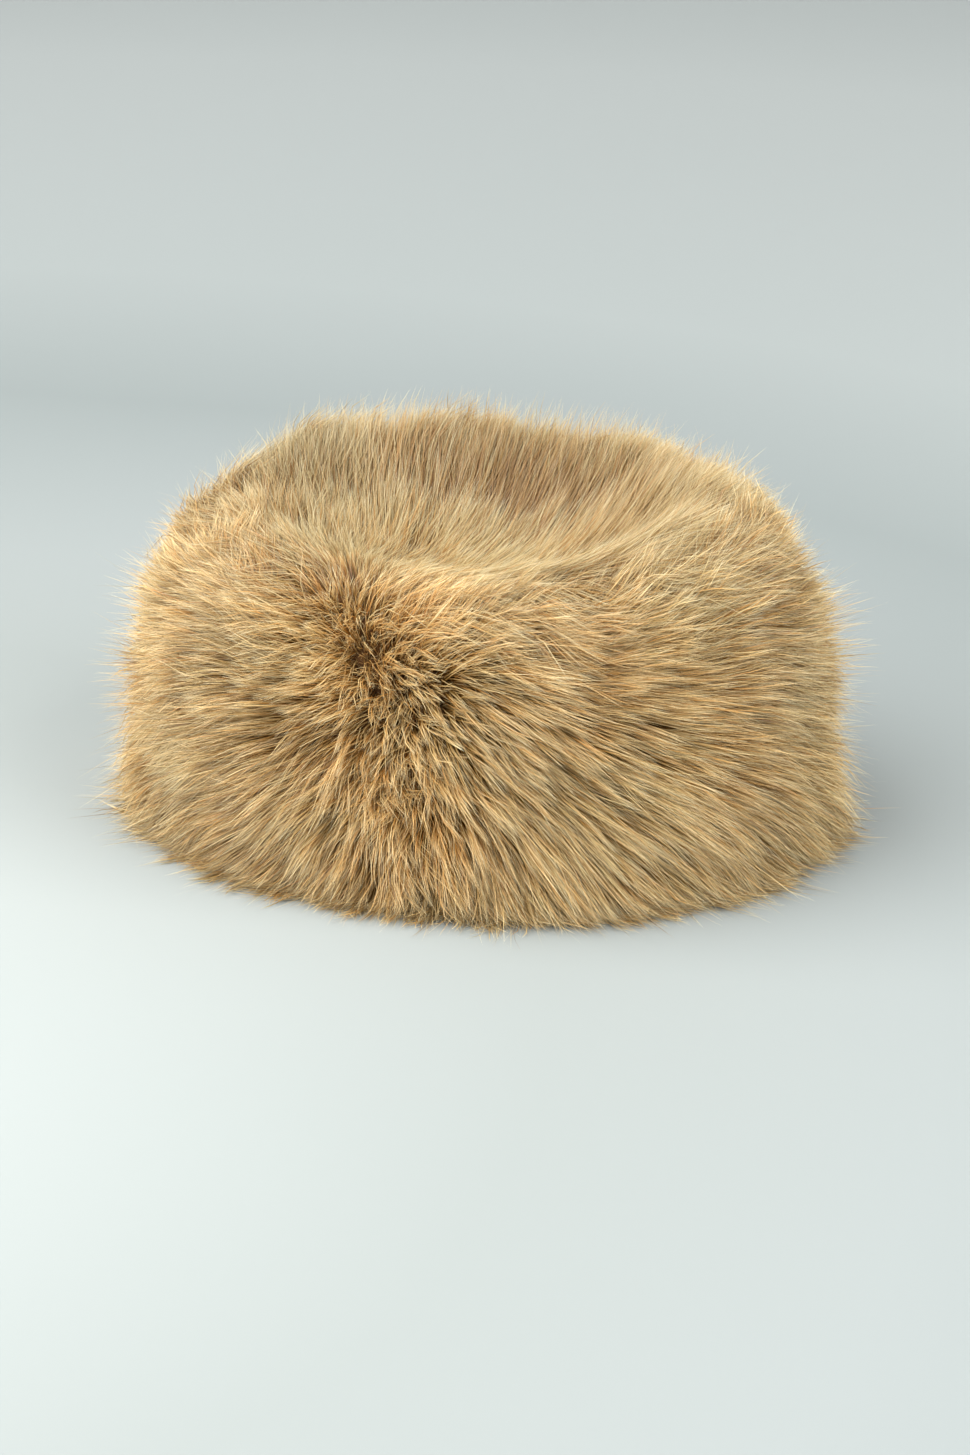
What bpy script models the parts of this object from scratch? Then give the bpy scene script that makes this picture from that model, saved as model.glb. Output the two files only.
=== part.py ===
"""A round hat of long-pile fur fabric, lying on its hem.

An oval crown panel is sewn to a side band that is closed by one upright seam. The fur
stands on both panels in combed locks. X runs along the head oval, the band's seam faces
-Y, +Z is up, and the hem lies on Z = 0. Lengths are metres.
"""

import math

import bmesh
import bpy
from mathutils import Vector

# The head opening, measured between the fabric's inner faces
HEAD_LENGTH = 0.204
HEAD_WIDTH = 0.160

# The fur fabric's backing, its band and its crown panel
FABRIC = 0.0025
BAND_HEIGHT = 0.102
BAND_TAPER = 0.006  # how far the band's top edge stands in from its hem
HEM_DEPTH = 0.015  # the strip that is turned up inside the hem
CROWN_DIP = 0.012  # how far the crown panel's middle sinks
SEAM_ALLOWANCE = 0.007  # the crown panel's edge, turned down inside the band
SEAM_GAP = 0.0003

# The fur
PILE_DEPTH = 0.036
FLOOR_CLEARANCE = 0.002  # under the fur, which only the band's hem holds up
LOCK_LENGTH = 0.011  # how far a lock stands out from the fur's body
LOCK_WAIST_PLACE = 0.45  # share of the lock's length
LOCK_WAIST_SHARE = 0.66  # share of the lock's foot

SEGMENTS = 48  # locks round the band, and facets round every oval
SEAM_ANGLE = -math.pi / 2

# The soft band stands higher at one end of the oval, and the fur above it stands up at
# the back and lies down at the front. Columns: waves round the oval, share of height
# along the wave's cosine, share of height along its sine
SLUMP_WAVES = ((1, 0.020, 0.030),)
PILE_RISE_WAVES = (
    (1, 0.09, 0.28),
    (2, 0.09, -0.09),
    (3, 0.09, 0.03),
)
OVAL_FULLNESS = 0.085  # share by which the fur is deeper at the oval's two ends

# Body of the band's fur under the locks, from the floor up to the crown seam.
# Columns: height as a share of the way from FLOOR_CLEARANCE to BAND_HEIGHT, further rise
# and outward reach as shares of PILE_DEPTH
BAND_FUR_SECTIONS = (
    (0.00, 0.00, 0.92),
    (0.08, 0.00, 0.92),
    (0.18, 0.00, 0.87),
    (0.31, 0.00, 0.82),
    (0.44, 0.00, 0.80),
    (0.57, 0.00, 0.78),
    (0.70, 0.00, 0.75),
    (0.83, 0.00, 0.70),
    (0.95, 0.00, 0.63),
    (1.00, 0.22, 0.49),
    (1.00, 0.47, 0.27),
)

# Body of the crown's fur, from the crown seam to the middle. Columns: share of the
# crown oval, rise as a share of PILE_DEPTH, sinking as a share of CROWN_DIP, facets
CROWN_FUR_SECTIONS = (
    (0.97, 0.55, 0.00, SEGMENTS),
    (0.83, 0.54, 0.00, SEGMENTS // 2),
    (0.65, 0.40, 0.15, SEGMENTS // 2),
    (0.44, 0.32, 0.50, SEGMENTS // 4),
    (0.21, 0.31, 0.90, SEGMENTS // 4),
)
CROWN_FUR_MIDDLE_SHARE = 0.31

# Share of the crown oval at each ring of the crown panel, from its edge inwards
CROWN_PANEL_RINGS = (1.0, 0.8, 0.6, 0.4, 0.2)

# Combing, as sideways shares of a lock's upright direction
COMB_FROM_SEAM = 0.80
COMB_DOWN = 0.75
COMB_ACROSS_CROWN = 0.75
PARTING_ANGLE = 0.35  # radians over which the fur turns away from the band's seam
CROWN_NAP = Vector((0.80, 0.60, 0.0))  # the way in which the crown's fur lies

# Finishes: linear colour, roughness
FUR_TAN = ((0.50, 0.35, 0.17, 1.0), 0.75)
FUR_GOLD = ((0.58, 0.42, 0.22, 1.0), 0.75)
BACKING_BEIGE = ((0.46, 0.35, 0.22, 1.0), 0.90)
BACKING_SAND = ((0.52, 0.41, 0.27, 1.0), 0.90)


def wave_share(table, angle):
    """What a table of waves gives at this angle, as a share of the mean."""
    share = 1.0
    for waves, along_cosine, along_sine in table:
        share += along_cosine * math.cos(waves * angle)
        share += along_sine * math.sin(waves * angle)
    return share


def slump(angle):
    """Height of the fabric at this angle of the oval, as a share of the mean height."""
    return wave_share(SLUMP_WAVES, angle)


def pile_rise(angle, share):
    """Rise of the fur over the fabric, for a share of PILE_DEPTH."""
    return PILE_DEPTH * share * wave_share(PILE_RISE_WAVES, angle)


def angle_of(index, count, shift=0.0):
    """Angle of one of count points round the oval, starting at the band's seam."""
    return SEAM_ANGLE + 2.0 * math.pi * (index + shift) / count


def oval_point(angle, outward, height):
    """A point that far out from the head opening's face, at a height before slumping."""
    return Vector(
        (
            (HEAD_LENGTH / 2 + outward) * math.cos(angle),
            (HEAD_WIDTH / 2 + outward) * math.sin(angle),
            height * slump(angle),
        )
    )


def band_face(height):
    """Outward place of the band's outer face at this height."""
    return FABRIC - BAND_TAPER * height / BAND_HEIGHT


def crown_half_axes():
    """Half length and half width of the crown oval, at the band's top edge."""
    face = band_face(BAND_HEIGHT)
    return HEAD_LENGTH / 2 + face, HEAD_WIDTH / 2 + face


def crown_sink(share):
    """How far the crown panel sinks at a share of the crown oval."""
    return CROWN_DIP * (1.0 - share**2) ** 2


def crown_point(angle, share, lift):
    """A point over the crown panel's underside, at a share of the crown oval."""
    half_length, half_width = crown_half_axes()
    slumped = 1.0 + (slump(angle) - 1.0) * share**2
    height = (BAND_HEIGHT + lift) * slumped - crown_sink(share)
    return Vector(
        (
            half_length * share * math.cos(angle),
            half_width * share * math.sin(angle),
            height,
        )
    )


def fur_reach(angle, share):
    """Depth of the fur at this angle, for a share of PILE_DEPTH."""
    return PILE_DEPTH * share * (1.0 + OVAL_FULLNESS * math.cos(2.0 * angle))


def add_ring(bm, place, count=SEGMENTS, shift=0.0):
    """Vertices round the oval, where place turns an angle into a point."""
    return [bm.verts.new(place(angle_of(i, count, shift))) for i in range(count)]


def join_rings(bm, lower, upper):
    """Faces between two rings. One may have twice as many points as the other."""
    faces = []
    count = min(len(lower), len(upper))
    low_step = len(lower) // count
    high_step = len(upper) // count
    for i in range(count):
        low = [lower[(i * low_step + k) % len(lower)] for k in range(low_step + 1)]
        high = [upper[(i * high_step + k) % len(upper)] for k in range(high_step + 1)]
        faces.append(bm.faces.new(low + high[::-1]))
    return faces


def close_to_middle(bm, ring, point):
    """Triangles from a ring to one point in its middle."""
    middle = bm.verts.new(point)
    count = len(ring)
    return [bm.faces.new((ring[i], ring[(i + 1) % count], middle)) for i in range(count)]


def finish_object(bm, name, finish):
    """Turns the mesh into a named object with its own material."""
    bmesh.ops.recalc_face_normals(bm, faces=bm.faces)
    mesh = bpy.data.meshes.new(name)
    bm.to_mesh(mesh)
    bm.free()
    colour, roughness = finish
    material = bpy.data.materials.new(name + "_finish")
    material.use_nodes = True
    shader = material.node_tree.nodes["Principled BSDF"]
    shader.inputs["Base Color"].default_value = colour
    shader.inputs["Roughness"].default_value = roughness
    shader.inputs["Metallic"].default_value = 0.0
    mesh.materials.append(material)
    mesh.shade_smooth()
    mesh.set_sharp_from_angle(angle=math.radians(35))
    obj = bpy.data.objects.new(name, mesh)
    bpy.context.scene.collection.objects.link(obj)
    return obj


def comb_direction(point, on_crown):
    """The sideways pull of the comb on a lock that stands at this point."""
    if on_crown:
        half_length, half_width = crown_half_axes()
        share = math.hypot(point.x / half_length, point.y / half_width)
        return CROWN_NAP * COMB_ACROSS_CROWN * max(0.0, 1.0 - share**4)
    angle = math.atan2(point.y / HEAD_WIDTH, point.x / HEAD_LENGTH)
    from_seam = (angle - SEAM_ANGLE + math.pi) % (2.0 * math.pi) - math.pi
    tangent = Vector(
        (-HEAD_LENGTH * math.sin(angle), HEAD_WIDTH * math.cos(angle), 0.0)
    ).normalized()
    pull = math.tanh(from_seam / PARTING_ANGLE) * math.cos(from_seam / 2.0)
    down = COMB_DOWN * max(0.0, 1.0 - point.z / BAND_HEIGHT)
    return tangent * pull * COMB_FROM_SEAM - Vector((0.0, 0.0, down))


def raise_locks(bm, faces, on_crown):
    """Draws each face out into a tapered lock of fur that leans with the comb."""
    bmesh.ops.recalc_face_normals(bm, faces=bm.faces)
    leans = []
    for face in faces:
        comb = comb_direction(face.calc_center_median(), on_crown)
        leans.append((face.normal + comb) * LOCK_LENGTH)
    waists = bmesh.ops.extrude_discrete_faces(bm, faces=faces)["faces"]
    for face, lean in zip(waists, leans):
        middle = face.calc_center_median()
        for vert in face.verts:
            vert.co = middle + (vert.co - middle) * LOCK_WAIST_SHARE
            vert.co += lean * LOCK_WAIST_PLACE
            vert.co.z = max(vert.co.z, FLOOR_CLEARANCE)
    for face, lean in zip(waists, leans):
        tip = bmesh.ops.poke(bm, faces=[face])["verts"][0]
        tip.co += lean * (1.0 - LOCK_WAIST_PLACE)
        tip.co.z = max(tip.co.z, FLOOR_CLEARANCE)


def make_side_band():
    """The band's fabric wall, with its hem turned up inside."""
    bm = bmesh.new()
    hem_face = band_face(HEM_DEPTH) - FABRIC
    # Columns: outward place, height
    section = (
        (band_face(0.0), 0.0),
        (band_face(BAND_HEIGHT), BAND_HEIGHT),
        (band_face(BAND_HEIGHT) - FABRIC, BAND_HEIGHT),
        (hem_face, HEM_DEPTH),
        (hem_face - FABRIC, HEM_DEPTH),
        (band_face(0.0) - 2.0 * FABRIC, 0.0),
    )
    rings = [
        add_ring(bm, lambda angle, o=outward, h=height: oval_point(angle, o, h))
        for outward, height in section
    ]
    for lower, upper in zip(rings, rings[1:] + rings[:1]):
        join_rings(bm, lower, upper)
    return finish_object(bm, "side_band", BACKING_BEIGE)


def make_crown_panel():
    """The crown's fabric panel, whose edge is turned down inside the band."""
    bm = bmesh.new()
    top = [
        add_ring(bm, lambda angle, s=share: crown_point(angle, s, SEAM_GAP + FABRIC))
        for share in CROWN_PANEL_RINGS
    ]
    edge = add_ring(bm, lambda angle: crown_point(angle, 1.0, SEAM_GAP))
    turned_in = band_face(BAND_HEIGHT) - FABRIC - SEAM_GAP
    rim_height = BAND_HEIGHT + SEAM_GAP
    lip_height = BAND_HEIGHT - SEAM_ALLOWANCE
    lip = [
        add_ring(bm, lambda angle, o=outward, h=height: oval_point(angle, o, h))
        for outward, height in (
            (turned_in, rim_height),
            (turned_in, lip_height),
            (turned_in - FABRIC, lip_height),
            (turned_in - FABRIC, rim_height),
        )
    ]
    under = [
        add_ring(bm, lambda angle, s=share: crown_point(angle, s, SEAM_GAP))
        for share in CROWN_PANEL_RINGS[1:]
    ]
    rings = top[::-1] + [edge] + lip + under
    for lower, upper in zip(rings, rings[1:]):
        join_rings(bm, lower, upper)
    close_to_middle(bm, top[-1], crown_point(0.0, 0.0, SEAM_GAP + FABRIC))
    close_to_middle(bm, under[-1], crown_point(0.0, 0.0, SEAM_GAP))
    return finish_object(bm, "crown_panel", BACKING_SAND)


def band_fur_point(angle, section, inward=0.0, upward=0.0):
    """A point of the band fur's body, at one row of its table."""
    height_share, rise_share, reach_share = section
    height = FLOOR_CLEARANCE + height_share * (BAND_HEIGHT - FLOOR_CLEARANCE)
    outward = band_face(height) + fur_reach(angle, reach_share) - inward
    point = oval_point(angle, outward, height)
    point.z += pile_rise(angle, rise_share) + upward
    return point


def make_side_fur():
    """The band's fur: a body that hugs the band, drawn out into staggered locks."""
    bm = bmesh.new()
    panel_top = BAND_HEIGHT + SEAM_GAP + FABRIC
    hug = [
        add_ring(bm, lambda angle, o=outward, h=height: oval_point(angle, o, h))
        for outward, height in (
            (band_face(BAND_HEIGHT) + SEAM_GAP, panel_top),
            (band_face(BAND_HEIGHT) + SEAM_GAP, BAND_HEIGHT),
            (band_face(FLOOR_CLEARANCE) + SEAM_GAP, FLOOR_CLEARANCE),
        )
    ]
    rows = [
        add_ring(bm, lambda angle, s=section: band_fur_point(angle, s), shift=0.5 * (j % 2))
        for j, section in enumerate(BAND_FUR_SECTIONS)
    ]
    rings = [rows[-1]] + hug + [rows[0]]
    for lower, upper in zip(rings, rings[1:]):
        join_rings(bm, lower, upper)
    last = len(rows) - 1
    locks = []
    for i in range(SEGMENTS):
        after = (i + 1) % SEGMENTS
        bm.faces.new((rows[0][i], rows[0][after], rows[1][i]))
        bm.faces.new((rows[last][after], rows[last][i], rows[last - 1][i]))
        for j in range(1, last):
            k = after if j % 2 else i
            corners = (rows[j][i], rows[j - 1][k], rows[j][after], rows[j + 1][k])
            locks.append(bm.faces.new(corners))
    raise_locks(bm, locks, on_crown=False)
    return finish_object(bm, "side_fur", FUR_TAN)


def crown_fur_point(angle, share, rise, sink):
    """A point of the crown fur's body, at one ring of its table."""
    risen = pile_rise(angle, rise) * share**2 + PILE_DEPTH * rise * (1.0 - share**2)
    return crown_point(angle, share, risen + crown_sink(share) - sink * CROWN_DIP)


def make_crown_fur():
    """The crown's fur: a body that lies on the crown panel, drawn out into locks."""
    bm = bmesh.new()
    lift = 2.0 * SEAM_GAP + FABRIC
    under = [
        add_ring(bm, lambda angle, s=share: crown_point(angle, s, lift))
        for share in CROWN_PANEL_RINGS
    ]
    parting = add_ring(
        bm,
        lambda angle: band_fur_point(angle, BAND_FUR_SECTIONS[-1], 2 * SEAM_GAP, SEAM_GAP),
    )
    rings = [parting] + under
    for outer, inner in zip(rings, rings[1:]):
        join_rings(bm, outer, inner)
    close_to_middle(bm, under[-1], crown_point(0.0, 0.0, lift))
    locks = []
    outer = parting
    for share, rise, sink, count in CROWN_FUR_SECTIONS:
        ring = add_ring(
            bm, lambda angle, s=(share, rise, sink): crown_fur_point(angle, *s), count
        )
        locks += join_rings(bm, outer, ring)
        outer = ring
    middle = CROWN_FUR_MIDDLE_SHARE * PILE_DEPTH
    locks += close_to_middle(bm, outer, crown_point(0.0, 0.0, middle))
    raise_locks(bm, locks, on_crown=True)
    return finish_object(bm, "crown_fur", FUR_GOLD)


def main():
    """Clears the scene and builds the hat."""
    for obj in list(bpy.data.objects):
        bpy.data.objects.remove(obj)
    make_side_band()
    make_crown_panel()
    make_side_fur()
    make_crown_fur()


main()
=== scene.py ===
"""Looks of a round hat of long-pile fur fabric that lies on its hem.

The fabric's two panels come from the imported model. The fur on them is made here: a dark
undercoat that keeps the solids' form, and long fibres in wisps that are combed over it.
"""

import logging
import math
from dataclasses import dataclass
from enum import Enum

import bpy
import numpy as np
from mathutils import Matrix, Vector


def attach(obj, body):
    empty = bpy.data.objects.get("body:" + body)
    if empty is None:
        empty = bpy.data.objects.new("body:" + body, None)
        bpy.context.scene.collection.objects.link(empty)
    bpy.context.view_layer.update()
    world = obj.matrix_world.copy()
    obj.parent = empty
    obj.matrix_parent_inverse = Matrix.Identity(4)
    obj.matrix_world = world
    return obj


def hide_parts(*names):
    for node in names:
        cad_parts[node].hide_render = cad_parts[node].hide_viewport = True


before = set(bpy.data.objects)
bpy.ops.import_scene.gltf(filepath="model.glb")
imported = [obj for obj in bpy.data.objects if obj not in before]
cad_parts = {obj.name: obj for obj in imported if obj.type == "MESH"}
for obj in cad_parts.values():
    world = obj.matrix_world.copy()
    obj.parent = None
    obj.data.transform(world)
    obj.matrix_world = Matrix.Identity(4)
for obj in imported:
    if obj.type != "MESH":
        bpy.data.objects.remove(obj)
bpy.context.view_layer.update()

LOG = logging.getLogger("fur_hat")
MM = 0.001
Array = np.ndarray
Pair = tuple[float, float]


def linear(sheet_hex: str, strength: float = 1.0) -> tuple[float, float, float, float]:
    """Turns an sRGB hex colour into Blender's linear colour.

    Args:
        sheet_hex: The colour as six hex digits.
        strength: A factor on the linear values.

    Returns:
        Red, green, blue and an alpha of one.
    """
    parts = [int(sheet_hex[i : i + 2], 16) / 255.0 for i in (0, 2, 4)]
    bright = [p / 12.92 if p <= 0.04045 else ((p + 0.055) / 1.055) ** 2.4 for p in parts]
    return (bright[0] * strength, bright[1] * strength, bright[2] * strength, 1.0)


def add_node(
    tree: bpy.types.NodeTree,
    kind: str,
    sockets: dict[str | int, object] | None = None,
    settings: dict[str, object] | None = None,
) -> bpy.types.Node:
    """Adds a node with its settings, values and links.

    Args:
        tree: The material's node tree.
        kind: The node's type name.
        sockets: Input sockets, each with a value or the output socket that feeds it.
        settings: Properties of the node.

    Returns:
        The new node.
    """
    node = tree.nodes.new(kind)
    for name, value in (settings or {}).items():
        setattr(node, name, value)
    for name, value in (sockets or {}).items():
        if isinstance(value, bpy.types.NodeSocket):
            tree.links.new(value, node.inputs[name])
        else:
            node.inputs[name].default_value = value
    return node


def add_ramp(
    tree: bpy.types.NodeTree, share: bpy.types.NodeSocket, *stops: tuple[float, str]
) -> bpy.types.NodeSocket:
    """Adds a colour ramp.

    Args:
        tree: The material's node tree.
        share: The output socket that feeds the ramp.
        stops: Places from 0 to 1, each with an sRGB hex colour.

    Returns:
        The socket with the ramp's colour.
    """
    node = add_node(tree, "ShaderNodeValToRGB", {0: share})
    ramp = node.color_ramp
    while len(ramp.elements) > 1:
        ramp.elements.remove(ramp.elements[-1])
    ramp.elements[0].position = stops[0][0]
    ramp.elements[0].color = linear(stops[0][1])
    for place, colour in stops[1:]:
        ramp.elements.new(place).color = linear(colour)
    return node.outputs[0]


def new_material(name: str) -> tuple[bpy.types.Material, bpy.types.NodeTree]:
    """Makes an empty material.

    Args:
        name: The material's name.

    Returns:
        The material and its node tree, which holds only the output.
    """
    material = bpy.data.materials.new(name)
    material.use_nodes = True
    material.node_tree.nodes.clear()
    add_node(material.node_tree, "ShaderNodeOutputMaterial", None, {"name": "Surface"})
    return material, material.node_tree


def show(tree: bpy.types.NodeTree, shader: bpy.types.Node) -> None:
    """Makes a shader the surface of its material."""
    tree.links.new(shader.outputs[0], tree.nodes["Surface"].inputs["Surface"])


def add_object(name: str, data: bpy.types.ID) -> bpy.types.Object:
    """Adds an object with its mesh, light or camera to the scene."""
    thing = bpy.data.objects.new(name, data)
    bpy.context.scene.collection.objects.link(thing)
    return thing


def add_skin(
    name: str, rings: list[Array], material: bpy.types.Material
) -> bpy.types.Object:
    """Adds a smooth skin over rings of points.

    Args:
        name: The object's name.
        rings: The rings in order, with as many points each. A last ring of one point
            closes the skin.
        material: The skin's material.

    Returns:
        The new object.
    """
    turns = len(rings[0])
    faces = []
    for k in range(1, len(rings)):
        low, high = (k - 1) * turns, k * turns
        for i in range(turns):
            j = (i + 1) % turns
            above = (high + j, high + i) if len(rings[k]) > 1 else (high,)
            faces.append((low + i, low + j, *above))
    mesh = bpy.data.meshes.new(name)
    mesh.from_pydata(np.concatenate(rings).tolist(), [], faces)
    mesh.shade_smooth()
    mesh.materials.append(material)
    return add_object(name, mesh)


class Dye(Enum):
    """The shades of fibre that are blended in the pile."""

    TAN = 0
    GINGER = 1
    CREAM = 2


@dataclass(frozen=True)
class PileFibre:
    """Modacrylic pile fibre, extruded, dyed in the fibre and heat-polished.

    The polish gives soft long glints, the fibre lets some light through, and the tips are
    bleached out to cream over brown roots.
    """

    dye: Dye
    root: str
    waist: str
    body: str
    tip: str
    places: tuple[float, float, float, float] = (0.32, 0.56, 0.80, 1.0)
    shades: Pair = (0.46, 1.26)
    roughness: float = 0.40
    ior: float = 1.50
    glow: float = 0.22

    def make(self) -> bpy.types.Material:
        """Makes the fibre's material.

        Returns:
            The material, whose colour runs along the fibre and varies between fibres.
        """
        material, tree = new_material("modacrylic_pile_" + self.dye.name.lower())
        place = add_node(tree, "ShaderNodeUVMap", None, {"uv_map": "strand_map"})
        split = add_node(tree, "ShaderNodeSeparateXYZ", {0: place.outputs[0]})
        stops = zip(self.places, (self.root, self.waist, self.body, self.tip))
        colour = add_ramp(tree, split.outputs["Y"], *stops)
        shade = add_node(
            tree,
            "ShaderNodeMapRange",
            {"Value": split.outputs["X"], "To Min": self.shades[0], "To Max": self.shades[1]},
        )
        toned = add_node(
            tree, "ShaderNodeHueSaturation", {"Value": shade.outputs[0], "Color": colour}
        )
        solid = add_node(
            tree,
            "ShaderNodeBsdfPrincipled",
            {"Base Color": toned.outputs[0], "Roughness": self.roughness, "IOR": self.ior},
        )
        through = add_node(tree, "ShaderNodeBsdfTranslucent", {"Color": toned.outputs[0]})
        mix = {0: self.glow, 1: solid.outputs[0], 2: through.outputs[0]}
        show(tree, add_node(tree, "ShaderNodeMixShader", mix))
        return material


@dataclass(frozen=True)
class Undercoat:
    """Short crimped fibre at the foot of the pile, matt and dark brown between the wisps."""

    # Partly painted shade: these dark browns also stand for the shade deep in the pile
    deep: str = "402609"
    high: str = "785128"
    fibre: float = 1.6 * MM
    tuft: float = 6.4 * MM
    roughness: float = 0.85
    ior: float = 1.50

    def make(self) -> bpy.types.Material:
        """Makes the undercoat's material.

        Returns:
            The material, with a bump of tufts and single fibres, and dark browns that are
            partly the fibre's own colour and partly painted shade of the pile's depths.
        """
        material, tree = new_material("crimped_undercoat_painted_shade")
        place = add_node(tree, "ShaderNodeTexCoord").outputs["Object"]
        tufts = add_node(
            tree,
            "ShaderNodeTexNoise",
            {"Vector": place, "Scale": 1.0 / self.tuft, "Detail": 5.0, "Roughness": 0.65},
        )
        colour = add_ramp(tree, tufts.outputs["Fac"], (0.30, self.deep), (0.72, self.high))
        fibres = add_node(
            tree,
            "ShaderNodeTexNoise",
            {"Vector": place, "Scale": 1.0 / self.fibre, "Detail": 4.0, "Roughness": 0.7},
        )
        bump = add_node(
            tree,
            "ShaderNodeBump",
            {"Strength": 0.9, "Distance": 0.8 * self.fibre, "Height": fibres.outputs["Fac"]},
        )
        look = {"Base Color": colour, "Roughness": self.roughness, "IOR": self.ior}
        look["Normal"] = bump.outputs[0]
        show(tree, add_node(tree, "ShaderNodeBsdfPrincipled", look))
        return material


@dataclass(frozen=True)
class KnitBacking:
    """Polyester backing, warp knitted and back-coated, a matt face of small loops."""

    thread: str = "b7a483"
    gap: str = "6f5f47"
    loop: float = 1.1 * MM
    roughness: float = 0.9
    ior: float = 1.57
    sheen: float = 0.15

    def make(self) -> bpy.types.Material:
        """Makes the backing's material.

        Returns:
            The material, with wales and courses of loops in colour and bump.
        """
        material, tree = new_material("warp_knit_backing")
        # Blender's wave texture has 20 radians of wave in a unit of its coordinates
        yarn = {
            "Vector": add_node(tree, "ShaderNodeTexCoord").outputs["Object"],
            "Scale": 2.0 * math.pi / self.loop / 20.0,
            "Distortion": 1.2,
            "Detail": 2.0,
            "Detail Scale": 3.0,
        }
        wales = add_node(tree, "ShaderNodeTexWave", yarn, {"bands_direction": "Z"})
        courses = add_node(tree, "ShaderNodeTexWave", yarn, {"bands_direction": "DIAGONAL"})
        loops = add_node(
            tree,
            "ShaderNodeMath",
            {0: wales.outputs["Fac"], 1: courses.outputs["Fac"]},
            {"operation": "MULTIPLY"},
        ).outputs[0]
        colour = add_ramp(tree, loops, (0.0, self.gap), (0.45, self.thread))
        bump = add_node(
            tree,
            "ShaderNodeBump",
            {"Strength": 0.6, "Distance": 0.3 * self.loop, "Height": loops},
        )
        look = {"Base Color": colour, "Roughness": self.roughness, "IOR": self.ior}
        look |= {"Sheen Weight": self.sheen, "Normal": bump.outputs[0]}
        show(tree, add_node(tree, "ShaderNodeBsdfPrincipled", look))
        return material


@dataclass(frozen=True)
class PaintedLightCove:
    """Studio cove in matt pale emulsion paint, which shows no grain at this distance.

    Its colour is painted light: it changes a little with the distance from a place on the
    floor, in metres, as a painted pool of light in front, painted shade further out and
    paler again at the wall.
    """

    middle: tuple[float, float, float] = (-0.30, -0.30, 0.0)
    edge: Pair = (0.26, 1.86)
    mottle: float = 0.08
    roughness: float = 0.9
    # Painted light and shade: these stops paint the light's pool and falloff over the cove
    shades: tuple[tuple[float, str], ...] = (
        (0.00, "9ea4a3"),
        (0.12, "929897"),
        (0.20, "919797"),
        (0.35, "868d8d"),
        (0.50, "999f9f"),
        (0.90, "a8adad"),
    )

    def make(self) -> bpy.types.Material:
        """Makes the cove's material.

        Returns:
            The material, palest in front and at the wall and darker between, all painted
            light and shade, with a slight roller mottle.
        """
        material, tree = new_material("cove_painted_light_falloff")
        place = add_node(tree, "ShaderNodeTexCoord").outputs["Object"]
        mottle = add_node(
            tree, "ShaderNodeTexNoise", {"Vector": place, "Scale": 2.0, "Detail": 2.0}
        )
        far = add_node(
            tree, "ShaderNodeVectorMath", {0: place, 1: self.middle}, {"operation": "DISTANCE"}
        )
        waved = add_node(
            tree,
            "ShaderNodeMath",
            {0: mottle.outputs["Fac"], 1: self.mottle, 2: far.outputs["Value"]},
            {"operation": "MULTIPLY_ADD"},
        )
        share = add_node(
            tree,
            "ShaderNodeMapRange",
            {"Value": waved.outputs[0], "From Min": self.edge[0], "From Max": self.edge[1]},
        )
        colour = add_ramp(tree, share.outputs[0], *self.shades)
        look = {"Base Color": colour, "Roughness": self.roughness}
        show(tree, add_node(tree, "ShaderNodeBsdfPrincipled", look))
        return material


def smooth_step(value: Array) -> Array:
    """Runs from 0 to 1 with a soft start and end while the value runs from 0 to 1."""
    value = np.clip(value, 0.0, 1.0)
    return value * value * (3.0 - 2.0 * value)


@dataclass(frozen=True)
class Ripple:
    """A smooth random field, made of plane waves in all directions.

    Its length is that of a wave in metres, and its size is the height of the waves.
    """

    seed: int
    length: float
    size: float = 1.0
    count: int = 24

    def at(self, points: Array) -> Array:
        """Reads the field.

        Args:
            points: Places, three columns, metres.

        Returns:
            One value for each place, mostly within the size to both sides of 0.
        """
        random = np.random.default_rng(self.seed)
        ways = random.normal(size=(self.count, 3))
        ways /= np.linalg.norm(ways, axis=1, keepdims=True)
        turns = 2.0 * np.pi / (self.length * random.uniform(0.7, 1.6, self.count))
        phases = random.uniform(0.0, 2.0 * np.pi, self.count)
        waves = np.sin(points @ (ways * turns[:, None]).T + phases)
        return waves.sum(axis=1) * math.sqrt(2.0 / self.count) * 0.6 * self.size


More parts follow.
